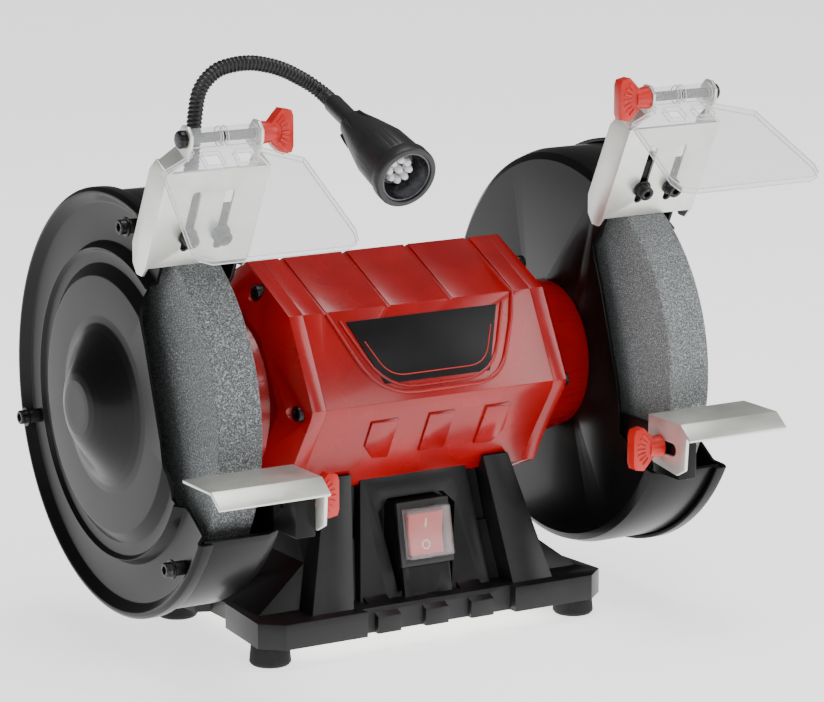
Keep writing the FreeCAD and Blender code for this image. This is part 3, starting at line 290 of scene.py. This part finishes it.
def name_plate_gloss():
    """Gloss black plate with nothing written on it."""
    finish = Finish("name_plate", Specular_IOR_Level=0.2)
    patches = finish.noise(60.0, 2.0)
    finish.feed("Base Color", finish.mix(patches, (0.005, 0.005, 0.005), (0.010, 0.009, 0.010)))
    finish.feed("Roughness", patches * 0.1 + 0.32)
    finish.height((patches, 0.01))
    return finish.material


def winding_copper():
    finish = Finish("copper_winding", Metallic=0.8)
    strands = finish.cells(700.0)
    finish.feed("Base Color", finish.mix(strands, (0.45, 0.16, 0.05), (0.75, 0.32, 0.12)))
    finish.feed("Roughness", strands * 0.2 + 0.3)
    finish.height((strands, 0.2))
    return finish.material


def pale_can():
    finish = Finish("capacitor_can")
    patches = finish.noise(90.0, 2.0)
    finish.feed("Base Color", finish.mix(patches, (0.55, 0.55, 0.52), (0.66, 0.66, 0.62)))
    finish.feed("Roughness", patches * 0.15 + 0.4)
    return finish.material


def dark_mirror():
    finish = Finish("lamp_reflector", Metallic=0.9)
    haze = finish.noise(300.0, 2.0)
    finish.feed("Base Color", finish.mix(haze, (0.05, 0.05, 0.055), (0.14, 0.14, 0.15)))
    finish.feed("Roughness", haze * 0.15 + 0.18)
    return finish.material


FINISHES = {
    "black_enamel": black_enamel(),
    "guard_black": guard_black(),
    "red_enamel": red_enamel(),
    "zinc_sheet": zinc_sheet(),
    "bright_steel": turned_steel("bright_steel", (0.5, 0.5, 0.51), (0.66, 0.66, 0.67), 0.2),
    "lamination_steel": turned_steel("lamination_steel", (0.2, 0.2, 0.22), (0.34, 0.34, 0.36), 0.35),
    "dark_screws": black_oxide(),
    "copper_winding": winding_copper(),
    "capacitor_can": pale_can(),
    "black_plastic": black_plastic(),
    "flexible_neck": black_plastic(),
    "knob_red": red_plastic(),
    "switch_red": red_plastic(),
    "clear_boot": clear_plastic("clear_boot", (0.75, 0.62, 0.60), 0.1, 0.2, 0.86),
    # shield_edge: pale, mostly opaque plastic for the rods that paint the highlight along the shield edges
    "shield_edge": clear_plastic("shield_edge", (0.80, 0.83, 0.84), 0.08, 0.1, 0.2),
    "clear_shield": clear_plastic("clear_shield", (0.62, 0.65, 0.66), 0.06, 0.1, 0.8),
    "name_plate": name_plate_gloss(),
    "black_rubber": black_rubber(),
    "lamp_reflector": dark_mirror(),
    "led_lens": clear_plastic("led_lens", (0.95, 0.96, 0.98), 0.05, 0.1, 0.2),
    "abrasive_coarse": abrasive("abrasive_coarse", (0.20, 0.21, 0.215), (0.31, 0.33, 0.335),
                                (0.55, 0.58, 0.59), 1500.0),
    "abrasive_fine": abrasive("abrasive_fine", (0.31, 0.33, 0.335), (0.41, 0.435, 0.44),
                              (0.62, 0.65, 0.66), 1900.0),
}
for node_name, item in frame["nodes"].items():
    item.data.materials.clear()
    item.data.materials.append(FINISHES[SLOT_OF[node_name]])


# Hand tools

def only(piece):
    bpy.ops.object.select_all(action="DESELECT")
    piece.select_set(True)
    bpy.context.view_layer.objects.active = piece


def apply(piece, kind, **settings):
    only(piece)
    modifier = piece.modifiers.new(kind.lower(), kind)
    for name, value in settings.items():
        setattr(modifier, name, value)
    bpy.ops.object.modifier_apply(modifier=modifier.name)


def smooth(piece, angle=35.0):
    only(piece)
    bpy.ops.object.shade_smooth_by_angle(angle=math.radians(angle))


def settle(piece, body, slot, *nodes):
    """Puts a finished piece on its body, with its place in its mesh."""
    only(piece)
    bpy.ops.object.transform_apply(location=True, rotation=True, scale=True)
    piece.data.materials.clear()
    piece.data.materials.append(FINISHES[slot])
    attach(piece, body)
    if nodes:
        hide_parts(*nodes)
    return piece


def copied(node):
    """A merged copy of a design node's mesh, to work on."""
    source = frame["nodes"][node]
    piece = bpy.data.objects.new(node + "_finished", source.data.copy())
    bpy.context.scene.collection.objects.link(piece)
    only(piece)
    bpy.ops.object.mode_set(mode="EDIT")
    bpy.ops.mesh.select_all(action="SELECT")
    bpy.ops.mesh.remove_doubles(threshold=0.00001)
    bpy.ops.mesh.dissolve_limited(angle_limit=math.radians(0.6))
    bpy.ops.object.mode_set(mode="OBJECT")
    return piece


def softened(node, width, segments=2, angle=30.0):
    """The node with its sharp edges rounded to this many millimetres."""
    piece = copied(node)
    apply(piece, "BEVEL", width=width * MM, segments=segments, limit_method="ANGLE",
          angle_limit=math.radians(angle), miter_outer="MITER_ARC", use_clamp_overlap=True)
    smooth(piece)
    return settle(piece, BODY_OF[node], SLOT_OF[node], node)


EDGE_WIDTHS = {
    "base_casting": 1.1,
    "motor_shell": 1.2,
    "left_end_bell": 1.4,
    "right_end_bell": 1.4,
    "left_grinding_wheel": 0.5,
    "right_grinding_wheel": 0.5,
    "left_spark_deflector": 0.35,
    "right_spark_deflector": 0.35,
    "left_tool_rest": 0.45,
    "right_tool_rest": 0.45,
    "left_rest_arm": 0.6,
    "right_rest_arm": 0.6,
    "left_eye_shield": 0.4,
    "right_eye_shield": 0.4,
    "left_guard_drum": 0.4,
    "right_guard_drum": 0.4,
    "left_shield_knob": 0.9,
    "right_shield_knob": 0.9,
    "left_rest_knob": 0.9,
    "right_rest_knob": 0.9,
    "left_hinge_bolt": 0.3,
    "right_hinge_bolt": 0.3,
    "switch_bezel": 0.5,
    "switch_rocker": 0.8,
    "switch_dust_cover": 0.9,
    "cover_screws": 0.25,
    "cover_spacers": 0.25,
    "deflector_screws": 0.25,
    "end_bell_screws": 0.3,
    "cable_gland": 0.4,
    "rubber_feet": 0.4,
    "lamp_socket": 0.8,
    "lamp_shell": 0.5,
    "lamp_ring": 0.4,
    "name_plate": 0.2,
}
for node_name, width in EDGE_WIDTHS.items():
    softened(node_name, width)


# Pieces rebuilt

def at(x, y, z):
    """A place in millimetres from the middle of the shaft."""
    return AXIS + Vector((x, y, z)) * MM


def new_piece(name, points, faces=(), edges=()):
    mesh = bpy.data.meshes.new(name)
    mesh.from_pydata([tuple(point) for point in points], list(edges), list(faces))
    mesh.update()
    piece = bpy.data.objects.new(name, mesh)
    bpy.context.scene.collection.objects.link(piece)
    return piece


def outward(piece):
    only(piece)
    bpy.ops.object.mode_set(mode="EDIT")
    bpy.ops.mesh.select_all(action="SELECT")
    bpy.ops.mesh.remove_doubles(threshold=0.000005)
    bpy.ops.mesh.normals_make_consistent(inside=False)
    bpy.ops.object.mode_set(mode="OBJECT")


def prism(name, bottom, top):
    """A solid between two outlines with the same number of corners."""
    count = len(bottom)
    faces = [tuple(range(count)), tuple(range(count, 2 * count))]
    for index in range(count):
        after = (index + 1) % count
        faces.append((index, after, count + after, count + index))
    piece = new_piece(name, list(bottom) + list(top), faces)
    outward(piece)
    return piece


def joined(pieces):
    bpy.ops.object.select_all(action="DESELECT")
    for piece in pieces:
        piece.select_set(True)
    bpy.context.view_layer.objects.active = pieces[0]
    bpy.ops.object.join()
    return pieces[0]


def rounded_edges(piece, width, segments=2):
    apply(piece, "BEVEL", width=width * MM, segments=segments, limit_method="ANGLE",
          angle_limit=math.radians(30), use_clamp_overlap=True)
    smooth(piece)


def bead(name, points, radii, sides=3, closed=False):
    """A round rod through these places, with a radius in millimetres at each."""
    line = bpy.data.curves.new(name, "CURVE")
    line.dimensions = "3D"
    line.bevel_depth = MM
    line.bevel_resolution = sides
    line.use_fill_caps = True
    spline = line.splines.new("POLY")
    spline.points.add(len(points) - 1)
    spline.use_cyclic_u = closed
    for spot, point, radius in zip(spline.points, points, radii):
        spot.co = (*point, 1.0)
        spot.radius = radius
    piece = bpy.data.objects.new(name, line)
    bpy.context.scene.collection.objects.link(piece)
    only(piece)
    bpy.ops.object.convert(target="MESH")
    return bpy.context.active_object


# Guard covers, spun from their pressed section

GUARD_BACK = -4.2
GUARD_RISE = 3.6
COVER_FACE = 160.9
COVER_STEPS = 160
CUTTER_NEAR = 120
CUTTER_FAR = 190


def leaning(up, back):
    """The y and z of a point of the spark deflector, up its plate and behind it."""
    tip = math.radians(26.5)
    return (-56.5 - up * math.sin(tip) + back * math.cos(tip),
            83.0 + up * math.cos(tip) + back * math.sin(tip))


MOUTH = [(-135, 140), leaning(60, 1.8), leaning(-13, 2.6), (-42, 66), (-43, 60.6), (-49.5, 44.9),
         (-58.9, 16.7), (-65.8, -3.8), (-69, -20), (-69.2, -32.4), (-81.3, -37.1), (-99.9, -49.5), (-135, -49.5)]


def boss_rise(radius):
    """How far the soft boss stands out over the disc."""
    slope = min(max((radius - 12.0) / 34.0, 0.0), 1.0)
    return 1.8 + 16.0 * (1.0 - slope * slope * (3.0 - 2.0 * slope))


def cover_section():
    """The sheet's section as rises over the face and radii, out to the lip and back in."""
    boss = [0, 5, 10, 14, 18, 22, 26, 30, 34, 38, 42, 46]
    outside = [(boss_rise(radius), radius) for radius in boss]
    outside += [(1.8, 66.5), (-2.4, 72.5), (-2.4, 78.5), (0.0, 80.5), (-6.0, 83.5), (-6.0, 103.5),
                (-1.4, 107.9), (-1.4, 109.6), (-3.0, 111.4), (-9.0, 111.4), (-9.0, 109.0), (-2.6, 109.0)]
    inside = [(-7.6, 104.1), (-7.6, 82.5), (-2.9, 80.15), (-4.0, 79.0), (-4.0, 71.5), (0.2, 65.8)]
    inside += [(boss_rise(radius) - 1.6, radius * 0.97) for radius in reversed(boss)]
    return outside + inside


def guard_cover(side, node):
    section = cover_section()
    points = [Vector((side * (COVER_FACE + rise), 0.0, radius)) * MM for rise, radius in section]
    piece = new_piece(node + "_finished", points, edges=[(i, i + 1) for i in range(len(points) - 1)])
    only(piece)
    bpy.ops.object.mode_set(mode="EDIT")
    bpy.ops.mesh.select_all(action="SELECT")
    bpy.ops.mesh.bevel(offset=0.6 * MM, segments=3, affect="VERTICES")
    bpy.ops.object.mode_set(mode="OBJECT")
    apply(piece, "SCREW", axis="X", steps=COVER_STEPS, render_steps=COVER_STEPS,
          use_merge_vertices=True, merge_threshold=0.00001)
    outward(piece)
    piece.location = at(0, GUARD_BACK, GUARD_RISE)
    bpy.ops.object.transform_apply(location=True, rotation=True, scale=True)
    near_face = [at(side * CUTTER_NEAR, y, z) for y, z in MOUTH]
    far_face = [at(side * CUTTER_FAR, y, z) for y, z in MOUTH]
    cutter = prism("mouth_cutter", near_face, far_face)
    apply(piece, "BOOLEAN", operation="DIFFERENCE", object=cutter, solver="EXACT")
    bpy.data.objects.remove(cutter)
    smooth(piece, 40.0)
    settle(piece, BODY_OF[node], SLOT_OF[node], node)


guard_cover(-1, "left_guard_cover")
guard_cover(1, "right_guard_cover")


# Painted highlights along the edges of the clear shields

def shield_edge(side):
    """A fine pale rod along every sharp edge of a shield, a painted highlight for the light the edges catch."""
    node = side + "_eye_shield"
    piece = copied(node)
    piece.name = side + "_shield_edge"
    only(piece)
    bpy.ops.object.mode_set(mode="EDIT")
    bpy.ops.mesh.select_mode(type="EDGE")
    bpy.ops.mesh.select_all(action="DESELECT")
    bpy.ops.mesh.edges_select_sharp(sharpness=math.radians(50))
    bpy.ops.mesh.select_all(action="INVERT")
    bpy.ops.mesh.delete(type="EDGE_FACE")
    bpy.ops.object.mode_set(mode="OBJECT")
    bpy.ops.object.convert(target="CURVE")
    piece = bpy.context.active_object
    piece.data.bevel_depth = 0.3 * MM
    piece.data.bevel_resolution = 2
    bpy.ops.object.convert(target="MESH")
    piece = bpy.context.active_object
    smooth(piece, 60.0)
    settle(piece, BODY_OF[node], "clear_shield")
    # The pale edge finish paints the highlight on the shield edges
    piece.data.materials.clear()
    piece.data.materials.append(FINISHES["shield_edge"])


shield_edge("left")
shield_edge("right")


# Lamp arm, a ribbed sleeve

def rounded_route(corners):
    """Points along straight runs whose corners are rounded as far as the runs allow."""
    route = [corners[0]]
    for before, corner, after in zip(corners, corners[1:], corners[2:]):
        reach = 0.45 * min((corner - before).length, (after - corner).length)
        first = corner + (before - corner).normalized() * reach
        last = corner + (after - corner).normalized() * reach
        for share in (0.0, 0.17, 0.33, 0.5, 0.67, 0.83, 1.0):
            route.append(first.lerp(corner, share).lerp(corner.lerp(last, share), share))
    return route + [corners[-1]]


def spaced(route, gap):
    """The route's points again, this far apart."""
    points = [route[0]]
    for start, end in zip(route, route[1:]):
        while (end - points[-1]).length > gap and (end - start).length > 0:
            points.append(points[-1] + (end - points[-1]).normalized() * gap)
    return points + [route[-1]]


def lamp_arm():
    foot = at(-127.5, -35.0, 121.0)
    head = at(-52.7, -45.5, 157.5)
    tip = math.radians(110.8)
    aim = Vector((0.0, -math.sin(tip), math.cos(tip)))
    steps = [(0, 0, 0), (2.3, 0, 30), (5, 0, 46), (15, 0, 55.5), (33, 0, 58), (52, 0, 53.5),
             (68.5, 0, 44.5)]
    corners = [foot + Vector(step) * MM for step in steps] + [head - aim * 6 * MM, head + aim * 4 * MM]
    points = spaced(rounded_route(corners), 0.55 * MM)
    crests = (3.45, 4.0, 4.1, 3.7)
    radii = [crests[index % 4] for index in range(len(points))]
    piece = bead("lamp_arm", points, radii, 6)
    smooth(piece, 60.0)
    settle(piece, "lamp_neck", "flexible_neck", "lamp_neck")


lamp_arm()


# Reliefs on the motor housing

class Facet:
    """A flat face of the housing's front, from one y, z corner to the next, in millimetres from the shaft."""

    def __init__(self, start, end):
        self.start = Vector((0.0, *start))
        self.along = (Vector((0.0, *end)) - self.start).normalized()
        self.out = self.along.cross(Vector((1.0, 0.0, 0.0)))
        if self.out.y > 0:
            self.out = -self.out

    def at(self, x, along, out):
        place = self.start + self.along * along + self.out * out
        return at(x, place.y, place.z)

    def panel(self, name, corners, low, high, inset=0.0):
        middle_x = sum(x for x, along in corners) / len(corners)
        middle_along = sum(along for x, along in corners) / len(corners)
        share = 1 - inset
        narrow = [(middle_x + (x - middle_x) * share, middle_along + (along - middle_along) * share)
                  for x, along in corners]
        return prism(name, [self.at(x, along, low) for x, along in corners],
                     [self.at(x, along, high) for x, along in narrow])


UPPER = Facet((-69.0, 2.0), (-45.0, 47.5))
LOWER = Facet((-67.0, -3.0), (-46.0, -34.0))


def housing_reliefs():
    """Raised windows under the crease and the double ridge round the name plate."""
    windows = [[(-39.8, 6.1), (-23.0, 5.9), (-20.5, 35.2), (-30.5, 34.7), (-38.3, 24.6)],
               [(-5.1, 5.3), (11.2, 5.5), (13.3, 33.8), (-2.6, 34.2)],
               [(30.0, 5.6), (45.2, 5.5), (47.6, 25.6), (43.0, 34.6), (31.6, 34.5)]]
    reliefs = []
    for index, corners in enumerate(windows):
        piece = LOWER.panel("window_%d" % index, corners, -0.6, 1.5, 0.05)
        rounded_edges(piece, 0.45)
        reliefs.append(piece)
    outer = [(-55.6, 50.5), (-36.2, 4.0), (37.4, 4.3), (52.2, 35.4), (57.0, 50.5)]
    inner = [(-48.9, 45.8), (-31.0, 6.9), (33.8, 7.4), (49.6, 45.8)]
    for name, corners, radius in (("ridge_outer", outer, 1.15), ("ridge_inner", inner, 0.9)):
        route = rounded_route([UPPER.at(x, along, 0.1) for x, along in corners])
        piece = bead(name, route, [radius] * len(route), 4)
        smooth(piece, 60.0)
        reliefs.append(piece)
    settle(joined(reliefs), "grinder", "red_enamel")


def crimson_line():
    corners = [(-37.6, 33.5), (-28.0, 13.6), (30.4, 13.8), (39.3, 34.5)]
    route = rounded_route([UPPER.at(x, along, 0.62) for x, along in corners])
    piece = bead("crimson_line", route, [0.32] * len(route), 2)
    smooth(piece, 60.0)
    settle(piece, "grinder", "knob_red")


housing_reliefs()
crimson_line()


# Red knobs, ribbed for the fingers

def knob_ribs(side, name, seat, y, z):
    """Ribs fanned over both faces of a wing knob that points at the motor."""
    ribs = []
    for face in (-1, 1):
        for index in range(7):
            turn = math.radians(-48 + 16 * index)
            spots = []
            for reach in (6.5, 11.0):
                spots.append(at(side * (seat - 5.0 - reach * math.cos(turn)), y + face * 3.15,
                                z + reach * math.sin(turn)))
            ribs.append(bead("rib", spots, [0.75, 0.75], 2))
    piece = joined(ribs)
    piece.name = name + "_ribs"
    smooth(piece, 60.0)
    settle(piece, name, "knob_red")


def knobs():
    hinge_y, hinge_z = leaning(73.1, 5.7)
    for side, name in ((-1, "left"), (1, "right")):
        knob_ribs(side, name + "_shield_knob", 115.2, hinge_y, hinge_z)
        knob_ribs(side, name + "_rest_knob", 106.7, -113.0, -29.0)


knobs()


# Switch marks, and painted shade in the lamp slits

def switch_place(across, up, out):
    """A place over the rocker's middle, in its own tilt."""
    tip = math.radians(-3.0)
    y = 49.8 - 2.5 * math.cos(math.radians(11.0))
    z = 57.1 - 132.5 - 2.5 * math.sin(math.radians(11.0))
    return at(across, -y - out * math.cos(tip) - up * math.sin(tip),
              z - out * math.sin(tip) + up * math.cos(tip))


def switch_marks():
    """The generic line and circle."""
    bar = bead("on_mark", [switch_place(0, 3.6, 5.15), switch_place(0, 8.2, 5.95)], [0.5, 0.5], 2)
    ring = []
    for index in range(20):
        turn = math.radians(18 * index)
        up = -5.9 + 2.2 * math.sin(turn)
        ring.append(switch_place(2.2 * math.cos(turn), up, 4.5 - up * 0.1786))
    circle = bead("off_mark", ring, [0.4] * 20, 2, closed=True)
    settle(joined([bar, circle]), "switch_rocker", "led_lens")


def lamp_slit_shades():
    """Black rods down the back of the lamp's bell, painted shade standing for its slots; no openings are cut."""
    tip = math.radians(110.8)
    aim = Vector((0.0, -math.sin(tip), math.cos(tip)))
    head = at(-52.7, -45.5, 157.5)
    across = Vector((1.0, 0.0, 0.0))
    over = aim.cross(across)
    bell = ((28.0, 8.6), (33.0, 9.6), (39.0, 10.9))
    slit_shades = []
    for index in range(6):
        turn = math.radians(30 + 60 * index)
        side = across * math.cos(turn) + over * math.sin(turn)
        spots = [head + (aim * along + side * radius) * MM for along, radius in bell]
        # each black rod paints the shade inside one slot
        slit_shades.append(bead("slit_shade", spots, [0.9, 0.8, 0.3], 2))
    settle(joined(slit_shades), "lamp_head", "black_rubber")


switch_marks()
lamp_slit_shades()


# Studio

def studio_floor():
    bpy.ops.mesh.primitive_circle_add(vertices=96, radius=14.0, fill_type="NGON", location=(0, 0, 0))
    floor = bpy.context.active_object
    floor.name = "floor"
    finish = Finish("floor_paper", Specular_IOR_Level=0.2, Emission_Strength=1.5)
    fibres = finish.noise(14.0, 4.0)
    finish.feed("Base Color", finish.mix(fibres, (0.86, 0.86, 0.86), (0.9, 0.9, 0.9)))
    finish.feed("Roughness", fibres * 0.1 + 0.75)
    finish.feed("Emission Color", finish.mix(fibres, (0.97, 0.97, 0.97), (1.0, 1.0, 1.0)))
    floor.data.materials.append(finish.material)


def softbox(name, place, aim, width, depth, power):
    data = bpy.data.lights.new(name, "AREA")
    data.shape = "RECTANGLE"
    data.size = width
    data.size_y = depth
    data.energy = power
    lamp = bpy.data.objects.new(name, data)
    bpy.context.scene.collection.objects.link(lamp)
    lamp.location = place
    lamp.rotation_euler = (Vector(aim) - Vector(place)).to_track_quat("-Z", "Y").to_euler()


def studio():
    world = bpy.data.worlds.new("studio")
    bpy.context.scene.world = world
    world.use_nodes = True
    background = world.node_tree.nodes["Background"]
    background.inputs["Color"].default_value = (1.0, 1.0, 1.0, 1.0)
    background.inputs["Strength"].default_value = 0.16
    centre = (0.0, 0.0, 0.15)
    softbox("top_box", (0.1, -0.2, 1.9), centre, 1.3, 0.9, 22.0)
    softbox("left_box", (-1.9, -0.7, 1.0), centre, 0.4, 1.0, 5.0)
    softbox("right_box", (1.7, -1.2, 1.1), centre, 0.9, 1.2, 16.0)
    softbox("front_box", (0.3, -2.4, 1.3), centre, 1.4, 0.5, 9.0)


def camera():
    data = bpy.data.cameras.new("camera")
    data.sensor_width = 36.0
    data.lens = 165.5
    data.clip_end = 60.0
    view = bpy.data.objects.new("camera", data)
    bpy.context.scene.collection.objects.link(view)
    view.location = (-0.9972, -1.7039, 0.5725)
    aim = Vector((0.0231, 0.0, 0.1427))
    view.rotation_euler = (aim - view.location).to_track_quat("-Z", "Y").to_euler()
    bpy.context.scene.camera = view


studio_floor()
studio()
camera()
